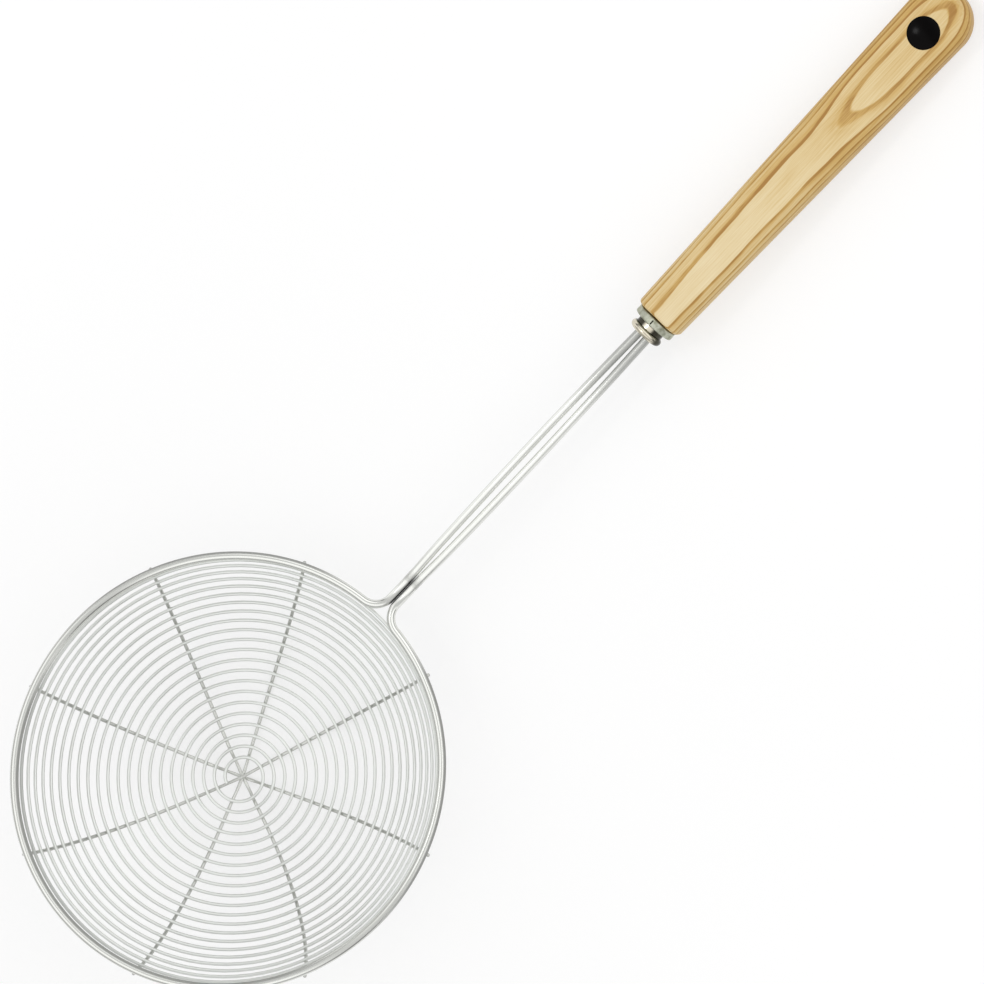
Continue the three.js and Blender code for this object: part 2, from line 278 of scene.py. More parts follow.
def rollWire(places, sides, endRound, oxideAndShadeAt):
    # a flat grid is rolled up round the row of places, its seam is merged and its ends are closed
    bm = bmesh.new()
    uvLayer = bm.loops.layers.uv.new("wire")
    # weld scale and painted shade, for each vertex
    oxideAndShadeLayer = bm.verts.layers.float.new("oxideAndShade")
    steps = len(places) - 1
    bmesh.ops.create_grid(bm, x_segments=steps, y_segments=sides, size=0.5, calc_uvs=True)
    length = sum((b.translation - a.translation).length for a, b in zip(places, places[1:]))
    girth = 2 * math.pi * places[0].col[0].length
    for face in bm.faces:
        for loop in face.loops:
            loop[uvLayer].uv = ((loop.vert.co.x + 0.5) * length * mm, (loop.vert.co.y + 0.5) * girth * mm)
    for vert in bm.verts:
        turn = 2 * math.pi * (vert.co.y + 0.5)
        place = places[round((vert.co.x + 0.5) * steps)]
        vert.co = place @ Vector((math.cos(turn), math.sin(turn), 0))
        vert[oxideAndShadeLayer] = oxideAndShadeAt(vert.co)
    bmesh.ops.remove_doubles(bm, verts=bm.verts, dist=mergeDistance)
    rims = [edge for edge in bm.edges if edge.is_boundary]
    bmesh.ops.holes_fill(bm, edges=rims, sides=sides)
    bmesh.ops.recalc_face_normals(bm, faces=bm.faces)
    bmesh.ops.bevel(bm, geom=rims, affect="EDGES", offset=endRound, offset_type="OFFSET",
                    segments=endSegments, profile=0.5, material=-1, clamp_overlap=True)
    return bm


def legOffset(distance):
    # half distance between the legs' middles: together at the neck, apart in the middle of the shaft
    t = (distance - frameWire["neckWeld"]) / (frameWire["shaftLength"] - frameWire["neckWeld"])
    t = min(max(t, 0.0), 1.0)
    bow = legAtMiddle - (legAtNeck + legAtFerrule) / 2
    return legAtNeck + (legAtFerrule - legAtNeck) * t + 4 * bow * t * (1 - t)


def framePath():
    legSteps, bendSteps = frameWire["legSteps"], frameWire["bendSteps"]
    distances = [woodStart + frameWire["tangDepth"], woodStart, frameWire["shaftLength"]]
    span = frameWire["shaftLength"] - frameWire["neckWeld"]
    distances += [frameWire["shaftLength"] - span * i / legSteps for i in range(1, legSteps)]
    distances += [frameWire["neckWeld"] * (1 - i / bendSteps) for i in range(bendSteps)]
    half = []
    for d in distances:
        pinched = 1 - smoothStep(d, frameWire["neckWeld"], frameWire["neckWeld"] + frameWire["pinchFade"])
        half.append(shaftFrame(d) @ Vector((0, legOffset(d) - frameWire["pinch"] * pinched, 0)))
    turn = math.atan2(neckNormal.x, neckNormal.y)
    for i in range(bendSteps):
        angle = turn * i / bendSteps
        half.append(neckCentre - Vector((math.sin(angle), math.cos(angle), 0)) * frameWire["neckBend"])
        half[-1].y -= frameWire["pinch"] * (1 - smoothStep(i, 0, bendSteps))
    hoop = []
    for i in range(frameWire["hoopSteps"] + 1):
        angle = neckStart + (2 * math.pi - 2 * neckStart) * i / frameWire["hoopSteps"]
        hoop.append(Vector((hoopX * math.cos(angle), hoopY * math.sin(angle), 0)))
    other = [Vector((point.x, -point.y, point.z)) for point in reversed(half)]
    return half + hoop + other


# how far the wires are darkened, by weld scale and by painted shade: 0 is bright, 1 is the dark scale tone
weldOxideAndShade = {
    # in the seam between the legs, along the shaft from the end of the neck bends: weld scale, with painted
    # shade in the crevice between the legs
    "from": -2.5, "to": 9.0, "fade": 2.0,
    "near": 0.3, "far": 0.58,  # across, from the seam's middle
    "markAt": 7.6, "markLength": 0.8, "mark": 0.3,  # where the electrodes pressed
    "ferruleShadeLength": 32.0, "ferruleShadeFull": 8.0, "ferruleShade": 0.36,  # ahead of the ferrule, painted shade standing in for a dark reflection
    # painted shade on the hoop's inner flank, in degrees round it, where the coil's last turn is welded under
    # it
    "rimFrom": 95.0, "rimTo": 262.0, "rimFade": 25.0, "rimInside": (0.15, 0.75), "rim": 0.5,
    # painted shade on the outer flank, in degrees to either side of the shaft, standing in for a dark
    # reflection
    "flankFrom": 10.0, "flankTo": 100.0, "flankRise": 12.5, "flankOutside": (0.35, 0.85), "flank": 0.58,
    "turnBelow": (4.6, 4.0), "turn": 0.28,  # painted shade on the coil's last turn under the hoop, from this far below it
}


def paintedRimShade(point):
    # the stretch of the rim that takes painted shade
    angle = math.degrees(math.atan2(point.y, point.x)) % 360
    fade = weldOxideAndShade["rimFade"]
    starts = smoothStep(angle, weldOxideAndShade["rimFrom"], weldOxideAndShade["rimFrom"] + fade)
    return starts * (1 - smoothStep(angle, weldOxideAndShade["rimTo"] - fade, weldOxideAndShade["rimTo"]))


def frameOxideAndShade(point):
    along = point.x - neckCentre.x
    # weld scale in the seam, with painted shade in the crevice between the legs
    seam = smoothStep(along, weldOxideAndShade["from"], weldOxideAndShade["from"] + weldOxideAndShade["fade"])
    seam *= 1 - smoothStep(along, weldOxideAndShade["to"] - weldOxideAndShade["fade"], weldOxideAndShade["to"])
    seam *= 1 - smoothStep(abs(point.y), weldOxideAndShade["near"], weldOxideAndShade["far"])
    mark = weldOxideAndShade["mark"] * math.exp(-((along - weldOxideAndShade["markAt"]) / weldOxideAndShade["markLength"]) ** 2)
    ferruleAt = shaftFrame(frameWire["shaftLength"]).translation.x - neckCentre.x
    # painted shade on the legs ahead of the ferrule
    ferruleShade = smoothStep(along, ferruleAt - weldOxideAndShade["ferruleShadeLength"], ferruleAt - weldOxideAndShade["ferruleShadeFull"])
    inside = (1 - math.hypot(point.x / hoopX, point.y / hoopY)) * hoopX
    # painted shade on the hoop's inner flank
    rim = weldOxideAndShade["rim"] * paintedRimShade(point) * smoothStep(inside, *weldOxideAndShade["rimInside"])
    # painted shade on the hoop's outer flank
    turn = abs(math.degrees(math.atan2(point.y, point.x)))
    flank = smoothStep(turn, weldOxideAndShade["flankFrom"], weldOxideAndShade["flankFrom"] + weldOxideAndShade["flankRise"])
    flank *= 1 - smoothStep(turn, weldOxideAndShade["flankTo"] - weldOxideAndShade["rimFade"], weldOxideAndShade["flankTo"])
    flank *= weldOxideAndShade["flank"] * smoothStep(-inside, *weldOxideAndShade["flankOutside"])
    return min(seam + mark + weldOxideAndShade["ferruleShade"] * ferruleShade + rim + flank, 1.0)


def coilShade(point):
    # painted shade on the coil's last turn, in the hoop's shadow
    below, full = weldOxideAndShade["turnBelow"]
    return weldOxideAndShade["turn"] * paintedRimShade(point) * (1 - smoothStep(-point.z, full, below))


frameSteel = drawnWire("stainlessDrawnBright", {
    "colour": "#e6e7e3", "stain": "#dbdcd7", "stainSize": 14.0, "scaleAndShade": "#1c1f19", "scaleAndShadeGloss": 0.1,
    "lineLength": 9.0, "lineWidth": 0.12, "lineDepth": 0.01,
    "roughness": 0.17, "roughSpread": 0.05, "oxideAndShadeRoughness": 0.45, "bump": 0.25,
})
path = framePath()
halfWire = [frameWire["wire"] / 2] * len(path)
hoopPlaces = wirePlaces(path, Vector((0, 0, 1)), halfWire, halfWire)
hoopWire = rollWire(hoopPlaces, frameWire["sides"], frameWire["endRound"], frameOxideAndShade)
finishPiece(hoopWire, "hoopAndShaft", hoopToWorld, frameSteel, "frame_wire",
            frameWire["smoothAngle"])
print("wire: hoop and shaft,", len(path), "rings")


# basket wall: its slope grows from the middle to the rim
basket = {
    "spokeWire": 1.3,
    "spokeSeen": (0.85, 1.05),  # drawn thinner than its solid, at the crossing and further out
    "spokeDull": 0.16,  # and duller towards the rim
    "spokeDullReach": (0.15, 0.7),
    # both ends of each spoke, in degrees from the shaft, hand laid
    "spokeArms": [(-20, 156.5), (24.5, 199.5), (66, 245.5), (111.5, 292)],
    "spokeSweep": 1.1,  # each arm bows sideways
    "spokeSlack": [(0, 0), (0, 0), (0, 1.5), (0, 0)],  # and one that was laid loosely bows further
    "rimSlope": math.radians(69),
    "bowlCurve": 1.47,
    "sag": Vector((-1.2, -0.2, 0)),  # the middle lies off the hoop's, hand formed
    "weldAngle": math.radians(50),  # spoke ends lie this far below the hoop's outer side
    "crossFlat": 0.7,  # spokes are pressed flat where they cross
    "crossSpread": 1.15,
    "crossReach": 2.4,
    "crossFade": 10.0,
    "spokeSteps": 60,
    "spokeCrowding": 1.6,
    "spokeSides": 16,
    "spokeEndRound": 0.2,
    "coilWire": 1.0,
    "coilTurns": 21.5,
    "coilInner": 4.6,
    "coilMargin": 2.0,
    "coilStepsPerArm": 12,
    "coilSides": 12,
    "coilEndRound": 0.12,
    "wallSteps": 64,
    "smoothAngle": 40,
}
weldDistance = (frameWire["wire"] + basket["spokeWire"]) / 2 + seat
weldDrop = weldDistance * math.sin(basket["weldAngle"])


def wallSlope(share):
    return basket["rimSlope"] * share ** basket["bowlCurve"]


def wallPoint(share):
    # reach and rise up to a share of the wall, for a wall one unit long
    reach = lift = 0.0
    for i in range(basket["wallSteps"]):
        slope = wallSlope(share * (i + 0.5) / basket["wallSteps"])
        reach += math.cos(slope) * share / basket["wallSteps"]
        lift += math.sin(slope) * share / basket["wallSteps"]
    return reach, lift


def rimReach(angle):
    hoop = 1 / math.hypot(math.cos(angle) / hoopX, math.sin(angle) / hoopY)
    return hoop + weldDistance * math.cos(basket["weldAngle"])


fullReach, fullLift = wallPoint(1)
wallLength = rimReach(math.pi / 4) / fullReach  # halfway between the hoop's axes


def onWall(angle, share, offset):
    reach, lift = wallPoint(share)
    slope = wallSlope(share)
    radius = rimReach(angle) * reach / fullReach - offset * math.sin(slope)
    z = wallLength * (lift - fullLift) - weldDrop + offset * math.cos(slope)
    bow = basket["spokeSweep"] * math.sin(math.pi * share)
    outward = Vector((math.cos(angle), math.sin(angle), 0))
    sideways = Vector((-math.sin(angle), math.cos(angle), 0))
    return outward * radius + sideways * bow + basket["sag"] * (1 - share) + Vector((0, 0, z))


def spokePlaces(arms, level):
    # level counts down from the spoke that lies on top at the crossing
    shares = [(i / basket["spokeSteps"]) ** basket["spokeCrowding"] for i in range(basket["spokeSteps"] + 1)]
    slack = basket["spokeSlack"][level]
    stops = [(arms[0], slack[0], share) for share in reversed(shares[1:])]
    stops += [(arms[1], slack[1], share) for share in shares]
    points, wide, high = [], [], []
    for arm, loose, share in stops:
        along = share * wallLength
        angle = math.radians(arm)
        point = onWall(angle, share, 0)
        point += Vector((-math.sin(angle), math.cos(angle), 0)) * loose * math.sin(math.pi * share)
        dipped = 1 - smoothStep(along, basket["crossReach"], basket["crossFade"])
        half = (basket["spokeSeen"][0] * dipped + basket["spokeSeen"][1] * (1 - dipped)) / 2
        point.z -= level * (basket["crossFlat"] + seat) * dipped
        flat = 1 - smoothStep(along, basket["crossReach"], 2 * basket["crossReach"])
        points.append(point)
        wide.append(half * (1 + (basket["crossSpread"] - 1) * flat))
        high.append(half + (basket["crossFlat"] / 2 - half) * flat)
    heading = math.radians((arms[0] + arms[1] - 180) / 2)
    return wirePlaces(points, Vector((-math.sin(heading), math.cos(heading), 0)), wide, high)


def spokeOxide(point):
    reach = math.hypot(point.x / hoopX, point.y / hoopY)
    return basket["spokeDull"] * smoothStep(reach, *basket["spokeDullReach"])


spokeSteel = drawnWire("stainlessDrawnDull", {
    "colour": "#d8d9d5", "stain": "#c9cac5", "stainSize": 6.0, "scaleAndShade": "#1c1f19", "scaleAndShadeGloss": 0.1,
    "lineLength": 5.0, "lineWidth": 0.1, "lineDepth": 0.01,
    "roughness": 0.28, "roughSpread": 0.06, "oxideAndShadeRoughness": 0.3, "bump": 0.25,
})
for i, arms in enumerate(basket["spokeArms"]):
    spokeWire = rollWire(spokePlaces(arms, i), basket["spokeSides"], basket["spokeEndRound"], spokeOxide)
    finishPiece(spokeWire, f"spokeWire{i + 1}", hoopToWorld, spokeSteel, f"spoke_{i + 1}",
                basket["smoothAngle"])
print("wire: spokes,", len(basket["spokeArms"]))


def coilPath():
    # clockwise and outwards, with a step on every spoke it crosses
    start = basket["spokeArms"][0][1]
    turns = sorted((start - arm) % 360 for pair in basket["spokeArms"] for arm in pair)
    angles = []
    for turn, following in zip(turns, turns[1:] + [360]):
        for k in range(basket["coilStepsPerArm"]):
            angles.append(math.radians(start - turn - (following - turn) * k / basket["coilStepsPerArm"]))
    steps = round(basket["coilTurns"] * len(angles))
    first = basket["coilInner"] / wallLength
    last = 1 - basket["coilMargin"] / wallLength
    offset = (basket["spokeWire"] + basket["coilWire"]) / 2 + seat
    points = []
    for i in range(steps + 1):
        share = first + (last - first) * i / steps
        points.append(onWall(angles[i % len(angles)], share, offset))
    return points


coilSteel = drawnWire("stainlessDrawnFine", {
    "colour": "#e9ebe8", "stain": "#dee0dc", "stainSize": 9.0, "scaleAndShade": "#1c1f19", "scaleAndShadeGloss": 0.1,
    "lineLength": 5.0, "lineWidth": 0.08, "lineDepth": 0.008,
    "roughness": 0.34, "roughSpread": 0.05, "oxideAndShadeRoughness": 0.3, "bump": 0.2,
})
coil = coilPath()
halfCoil = [basket["coilWire"] / 2] * len(coil)
coilPlaces = wirePlaces(coil, Vector((0, 0, 1)), halfCoil, halfCoil)
coilWire = rollWire(coilPlaces, basket["coilSides"], basket["coilEndRound"], coilShade)
finishPiece(coilWire, "spiralCoil", hoopToWorld, coilSteel, "basket_coil",
            basket["smoothAngle"])
print("wire: coil,", len(coil), "rings")


# ferrule

def turnedNickel(name, settings):
    # brass turned on a lathe, nickel plated and satin finished: warm grey, with fine rings round the axis,
    # drawn coarser than real ones, and a dark film in its recesses; the same dark mask paints shade on the
    # bead's lower flank and leaves the top of the groove bright as a painted highlight
    material, tree, output = newMaterial(name)
    coords = addNode(tree, "TexCoord")
    toAxis = addNode(tree, "Mapping", {
        "Vector": coords.outputs["Object"],
        "Scale": grainScale(settings["ringWidth"], settings["ringLength"]),
    })
    rings = addNode(tree, "TexNoise", {
        "Vector": toAxis.outputs["Vector"], "Scale": 1.0, "Detail": 2.0,
    })
    tarnish = addNode(tree, "TexNoise", {
        "Vector": coords.outputs["Object"], "Scale": perMetre(settings["tarnishSize"]), "Detail": 4.0,
    })
    patches = addNode(tree, "MapRange", {
        "Value": tarnish.outputs["Fac"],
        "From Min": settings["tarnishFrom"], "From Max": settings["tarnishTo"],
    })
    tint = addNode(tree, "Mix", {
        "Factor": patches.outputs["Result"], 6: colour(settings["colour"]), 7: colour(settings["tarnish"]),
    }, data_type="RGBA")
    # patina in the recesses, with painted shade and a painted highlight, in one mask
    patinaAndShade = addNode(tree, "Attribute", attribute_name="patinaAndShade")
    darkened = addNode(tree, "Mix", {
        "Factor": patinaAndShade.outputs["Fac"], 6: tint.outputs[2], 7: colour(settings["patinaAndShade"]),
    }, data_type="RGBA")
    rough = addNode(tree, "MapRange", {"Value": rings.outputs["Fac"], **roughRange(settings)})
    bump = addNode(tree, "Bump", {
        "Height": rings.outputs["Fac"], "Strength": settings["bump"],
        "Distance": settings["ringDepth"] * mm,
    })
    shader = addNode(tree, "BsdfPrincipled", {
        "Base Color": darkened.outputs[2],
        "Metallic": 1.0,
        "Roughness": rough.outputs["Result"],
        "Normal": bump.outputs["Normal"],
    })
    tree.links.new(shader.outputs["BSDF"], output.inputs["Surface"])
    return material


def loopEdges(verts):
    return list({edge for vert in verts for edge in vert.link_edges})


def ringLoop(bm, x, radius, rounds, spread=0):
    # a ring round the shaft's axis, drawn out sideways where both legs go through it
    upright = Matrix.Rotation(math.pi / 2, 4, "Y") @ Matrix.Rotation(math.pi / rounds, 4, "Z")
    place = Matrix.Translation((x, 0, 0)) @ upright
    verts = bmesh.ops.create_circle(bm, segments=rounds, radius=radius, matrix=place)["verts"]
    if spread:
        for vert in verts:
            vert.co.y += math.copysign(spread, vert.co.y)
    return loopEdges(verts)


def turnRings(profile, rounds, patinaAndShadeAt=None):
    # rings of a turned piece along the shaft, closed through an oval bore for the two legs
    bm = bmesh.new()
    patinaAndShadeLayer = bm.verts.layers.float.new("patinaAndShade")
    loops = [ringLoop(bm, x, radius, rounds) for x, radius in profile]
    loops += [ringLoop(bm, profile[end][0], legBore, rounds, legAtFerrule) for end in (-1, 0)]
    for loop, following in zip(loops, loops[1:] + loops[:1]):
        bmesh.ops.bridge_loops(bm, edges=loop + following)
    bmesh.ops.recalc_face_normals(bm, faces=bm.faces)
    for vert in bm.verts:
        vert[patinaAndShadeLayer] = patinaAndShadeAt(vert.co) if patinaAndShadeAt else 0.0
    return bm


def collarPatinaAndShade(point):
    # dark patina in the groove, left bright on top as a painted highlight, and painted shade on the bead's
    # lower flank
    ahead = point.x - ferrule["beadLength"]
    groove = smoothStep(ahead, *ferrule["darkFrom"])
    # the top of the groove is left bright as a painted highlight
    flank = smoothStep(abs(point.y), *ferrule["paintedHighlightTop"])
    # painted shade on the bead's lower flank
    under = smoothStep(-point.y, *ferrule["darkFlank"])
    return max(groove * flank, under)


def collarProfile():
    swell = ferrule["beadLength"] / 2
    top = ferrule["beadDiameter"] / 2
    profile = []
    for i in range(ferrule["beadSteps"] + 1):
        turn = math.pi * i / ferrule["beadSteps"]
        profile.append((swell * (1 - math.cos(turn)), top - swell * (1 - math.sin(turn))))
    groove = ferrule["grooveDiameter"] / 2
    end = ferrule["beadLength"] + ferrule["grooveLength"]
    return profile + [(ferrule["beadLength"], groove), (end, groove)]


def bandProfile():
    radius = ferrule["bandDiameter"] / 2
    edge = ferrule["bandEdge"]
    quarter = []
    for i in range(ferrule["edgeSteps"] + 1):
        turn = math.pi / 2 * i / ferrule["edgeSteps"]
        quarter.append((edge * (1 - math.cos(turn)), radius - edge * (1 - math.sin(turn))))
    middle = ferrule["bandLength"] / 2
    seam = [(middle - ferrule["seamLength"] / 2, radius), (middle + ferrule["seamLength"] / 2, radius)]
    return quarter + seam + [(ferrule["bandLength"] - x, r) for x, r in reversed(quarter)]


collarNickel = turnedNickel("nickelTurnedBright", {
    "colour": "#ddd6c4", "tarnish": "#cbc4b1", "patinaAndShade": "#45433a",
    "tarnishSize": 3.0, "tarnishFrom": 0.4, "tarnishTo": 0.7,
    "ringWidth": 0.12, "ringLength": 6.0, "ringDepth": 0.01,
    "roughness": 0.2, "roughSpread": 0.05, "bump": 0.3,
})
collar = turnRings(collarProfile(), ferrule["rounds"], collarPatinaAndShade)
finishPiece(collar, "collarTurned", gripToWorld @ Matrix.Translation((-ferruleLength, 0, 0)),
            collarNickel, "ferrule_collar", ferrule["smoothAngle"])

bandNickel = turnedNickel("nickelRolledSatin", {
    "colour": "#c2c4b4", "tarnish": "#979985", "patinaAndShade": "#2c2d22",
    "tarnishSize": 1.3, "tarnishFrom": 0.4, "tarnishTo": 0.7,
    "ringWidth": 0.15, "ringLength": 4.0, "ringDepth": 0.01,
    "roughness": 0.5, "roughSpread": 0.06, "bump": 0.4,
})
band = turnRings(bandProfile(), ferrule["rounds"])
# the seam is one facet on top, sunk into the band
seamFace = max(band.faces, key=lambda face: face.calc_center_median().z - abs(face.calc_center_median().y)
               - abs(face.calc_center_median().x - ferrule["bandLength"] / 2))
sunk = bmesh.ops.extrude_discrete_faces(band, faces=[seamFace])["faces"]
bmesh.ops.translate(band, vec=(0, 0, -ferrule["seamDepth"]), verts=sunk[0].verts)
for vert in sunk[0].verts:
    vert[band.verts.layers.float["patinaAndShade"]] = 1.0
bandAt = -seat - ferrule["bandLength"]
finishPiece(band, "bandRolled", gripToWorld @ Matrix.Translation((bandAt, 0, 0)),
            bandNickel, "ferrule_band", ferrule["smoothAngle"])
print("ferrule: collar and band")


# handle
handle = {
    "length": 122.5,
    "thickness": 12.0,
    "widthFerrule": 14.3,
    "widthTip": 19.2,
    "edge": 3.8,  # long edges are rounded over
    "endRound": 0.9,
    "spare": 8.0,  # the blank is sawn off at the ferrule
    "flatInset": 0.2,  # a narrow border keeps the flats' shading flat
    "edgeSegments": 12,
    "endSegments": 5,
    "tipSteps": 64,
    "slotRounds": 48,
    "plugDiameter": 9.2,
    "plugDepth": 4.0,
    "plugDome": 0.6,
    "plugEdge": 0.12,
    "plugEase": 0.3,  # share of the edge at which it turns
    "plugFromTip": 14.4,
    "plugGap": 0.08,
    "plugRounds": 96,
    "domeSteps": 12,
    "smoothAngle": 30,
    "plugSmoothAngle": 35,
}
plugAt = Matrix.Translation((handle["length"] - handle["plugFromTip"], 0, handle["thickness"] / 2))


def ashWood(name, settings):
    # flat sawn ash, sanded and oiled: pale, with brown porous spring wood at each growth ring
    material, tree, output = newMaterial(name)
    coords = addNode(tree, "TexCoord")
    # back to the handle's own frame, in metres
    toGrip = gripToWorld.inverted()
    local = addNode(tree, "Mapping", {
        "Vector": coords.outputs["Object"],
        "Location": toGrip.translation * mm,
        "Rotation": toGrip.to_euler(),
    })
    wander = addNode(tree, "Mapping", {
        "Vector": local.outputs["Vector"],
        "Scale": grainScale(settings["wanderLength"], settings["wanderWidth"]),
        "Location": settings["wanderSeed"],
    })
    wobble = addNode(tree, "TexNoise", {
        "Vector": wander.outputs["Vector"], "Scale": 1.0, "Detail": 2.0, "Roughness": 0.4,
    })
    parts = addNode(tree, "SeparateXYZ", {"Vector": local.outputs["Vector"]})
    # the pith runs above the handle, comes nearer towards the tip and leaves it again
    lean = addNode(tree, "MapRange", {
        "Value": parts.outputs["X"],
        "From Min": settings["bendFrom"] * mm, "From Max": settings["bendTo"] * mm,
        "To Min": 0.0, "To Max": settings["bendDrop"] * mm,
    }, interpolation_type="SMOOTHSTEP")
    lift = addNode(tree, "MapRange", {
        "Value": parts.outputs["X"],
        "From Min": settings["tipFrom"] * mm, "From Max": settings["tipTo"] * mm,
        "To Min": (handle["thickness"] / 2 + settings["pithAbove"]) * mm,
        "To Max": (handle["thickness"] / 2 + settings["pithAbove"] + settings["tipRise"]) * mm,
    }, interpolation_type="SMOOTHSTEP")
    slant = addNode(tree, "Math", {
        0: parts.outputs["X"], 1: settings["slant"], 2: lean.outputs["Result"],
    }, operation="MULTIPLY_ADD")
    below = addNode(tree, "Math", {
        0: parts.outputs["Z"], 1: slant.outputs["Value"],
    }, operation="ADD")
    depth = addNode(tree, "Math", {
        0: lift.outputs["Result"], 1: below.outputs["Value"],
    }, operation="SUBTRACT")
    drift = addNode(tree, "MapRange", {
        "Value": parts.outputs["X"], "From Max": settings["asideLength"] * mm,
        "To Min": settings["asideStart"] * mm, "To Max": settings["asideEnd"] * mm,
    }, interpolation_type="SMOOTHSTEP")
    aside = addNode(tree, "Math", {
        0: parts.outputs["Y"], 1: drift.outputs["Result"],
    }, operation="ADD")
    flat = addNode(tree, "CombineXYZ", {"Y": aside.outputs["Value"], "Z": depth.outputs["Value"]})
    fromPith = addNode(tree, "VectorMath", {0: flat.outputs["Vector"]}, operation="LENGTH")
    moved = addNode(tree, "Math", {
        0: wobble.outputs["Fac"], 1: settings["wander"] * mm, 2: fromPith.outputs["Value"],
    }, operation="MULTIPLY_ADD")

    def ringDepth(key):
        # the noise is 0.5 on average, so a depth from the pith moves by half the wander on average
        return (settings[key] + settings["wander"] / 2) * mm

    ringShift = ringDepth("ringAt") * perMetre(settings["ringPitch"])
    ringCount = addNode(tree, "Math", {
        0: moved.outputs["Value"], 1: perMetre(settings["ringPitch"]), 2: math.ceil(ringShift) - ringShift,
    }, operation="MULTIPLY_ADD")
    phase = addNode(tree, "Math", {0: ringCount.outputs["Value"]}, operation="FRACT")
    # spring wood starts sharply at a ring and fades into the pale summer wood
    spring = addNode(tree, "ValToRGB", {"Fac": phase.outputs["Value"]})
    ramp = spring.color_ramp
    ramp.interpolation = "EASE"
    stops = settings["ringStops"]
    ramp.elements[0].position, ramp.elements[0].color = stops[0][0], (stops[0][1],) * 3 + (1,)
    ramp.elements[1].position, ramp.elements[1].color = stops[-1][0], (stops[-1][1],) * 3 + (1,)
    for position, value in stops[1:-1]:
        ramp.elements.new(position).color = (value, value, value, 1)
    # a ring is dark along some stretches and faint along others
    fadeAt = addNode(tree, "Mapping", {
        "Vector": local.outputs["Vector"],
        "Scale": grainScale(settings["fadeLength"], settings["fadeWidth"]),
    })
    fade = addNode(tree, "TexNoise", {
        "Vector": fadeAt.outputs["Vector"], "Scale": 1.0, "Detail": 2.0,
    })
    strength = addNode(tree, "MapRange", {
        "Value": fade.outputs["Fac"], "From Min": settings["fadeFrom"], "From Max": settings["fadeTo"],
        "To Min": settings["fadeLow"], "To Max": settings["fadeHigh"],
    })
    # the ring nearest the pith is a faint one
    inner = addNode(tree, "MapRange", {
        "Value": moved.outputs["Value"],
        "From Min": ringDepth("innerFrom"),
        "From Max": ringDepth("innerTo"),
        "To Min": settings["inner"],
    })
    # and the ones further out are fainter and lie in deeper wood
    outerRings = addNode(tree, "MapRange", {
        "Value": moved.outputs["Value"],
        "From Min": ringDepth("outerFrom"),
        "From Max": ringDepth("outerTo"),
        "To Min": 1.0, "To Max": settings["outerRings"],
    })
    others = addNode(tree, "Math", {
        0: inner.outputs["Result"], 1: outerRings.outputs["Result"],
    }, operation="MULTIPLY")
    ringStrength = addNode(tree, "Math", {
        0: strength.outputs["Result"], 1: others.outputs["Value"],
    }, operation="MULTIPLY")
    # painted shade: the wood darkens towards the tip, where the light falls off
    tipShade = addNode(tree, "MapRange", {
        "Value": parts.outputs["X"], "From Min": settings["tipShadeFrom"] * mm, "From Max": settings["tipShadeTo"] * mm,
        "To Max": settings["tipShade"],
    }, interpolation_type="SMOOTHSTEP")
    outer = addNode(tree, "MapRange", {
        "Value": moved.outputs["Value"],
        "From Min": ringDepth("ringAt"),
        "From Max": ringDepth("outerTo"),
        "To Max": settings["outer"],
    }, interpolation_type="SMOOTHSTEP")
    ground = addNode(tree, "Math", {
        0: tipShade.outputs["Result"], 1: outer.outputs["Result"],
    }, operation="ADD")
    ringTone = addNode(tree, "Math", {
        0: spring.outputs["Color"], 1: ringStrength.outputs["Value"], 2: ground.outputs["Value"],
    }, operation="MULTIPLY_ADD")
    fibreAt = addNode(tree, "Mapping", {
        "Vector": local.outputs["Vector"],
        "Scale": grainScale(settings["fibreLength"], settings["fibreWidth"]),
    })
    fibre = addNode(tree, "TexNoise", {
        "Vector": fibreAt.outputs["Vector"], "Scale": 1.0, "Detail": 4.0, "Roughness": 0.6,
    })
    poreAt = addNode(tree, "Mapping", {
        "Vector": local.outputs["Vector"],
        "Scale": grainScale(settings["poreLength"], settings["poreWidth"]),
    })
    pore = addNode(tree, "TexNoise", {
        "Vector": poreAt.outputs["Vector"], "Scale": 1.0, "Detail": 1.0,
    })
    pores = addNode(tree, "MapRange", {
        "Value": pore.outputs["Fac"], "From Min": settings["poreFrom"], "From Max": settings["poreTo"],
    })
    springPores = addNode(tree, "Math", {
        0: pores.outputs["Result"], 1: spring.outputs["Color"],
    }, operation="MULTIPLY")
    streak = addNode(tree, "MapRange", {
        "Value": fibre.outputs["Fac"], "From Min": settings["fibreFrom"], "From Max": settings["fibreTo"],
        "To Min": -settings["fibreDepth"], "To Max": settings["fibreDepth"],
    })
    grain = addNode(tree, "Math", {
        0: ringTone.outputs["Value"], 1: streak.outputs["Result"],
    }, operation="ADD")
    darker = addNode(tree, "Math", {
        0: springPores.outputs["Value"], 1: settings["poreDepth"], 2: grain.outputs["Value"],
    }, operation="MULTIPLY_ADD")
    wood = addNode(tree, "ValToRGB", {"Fac": darker.outputs["Value"]})
    tones = settings["tones"]
    for element, (position, tone) in zip(wood.color_ramp.elements, (tones[0], tones[-1])):
        element.position, element.color = position, colour(tone)
    for position, tone in tones[1:-1]:
        wood.color_ramp.elements.new(position).color = colour(tone)
    rough = addNode(tree, "MapRange", {"Value": fibre.outputs["Fac"], **roughRange(settings)})
    relief = addNode(tree, "Math", {
        0: springPores.outputs["Value"], 1: -1.0, 2: fibre.outputs["Fac"],
    }, operation="MULTIPLY_ADD")
    bump = addNode(tree, "Bump", {
        "Height": relief.outputs["Value"], "Strength": settings["bump"],
        "Distance": settings["grainDepth"] * mm,
    })
    shader = addNode(tree, "BsdfPrincipled", {
        "Base Color": wood.outputs["Color"],
        "Roughness": rough.outputs["Result"],
        "IOR": 1.5,
        "Normal": bump.outputs["Normal"],
    })
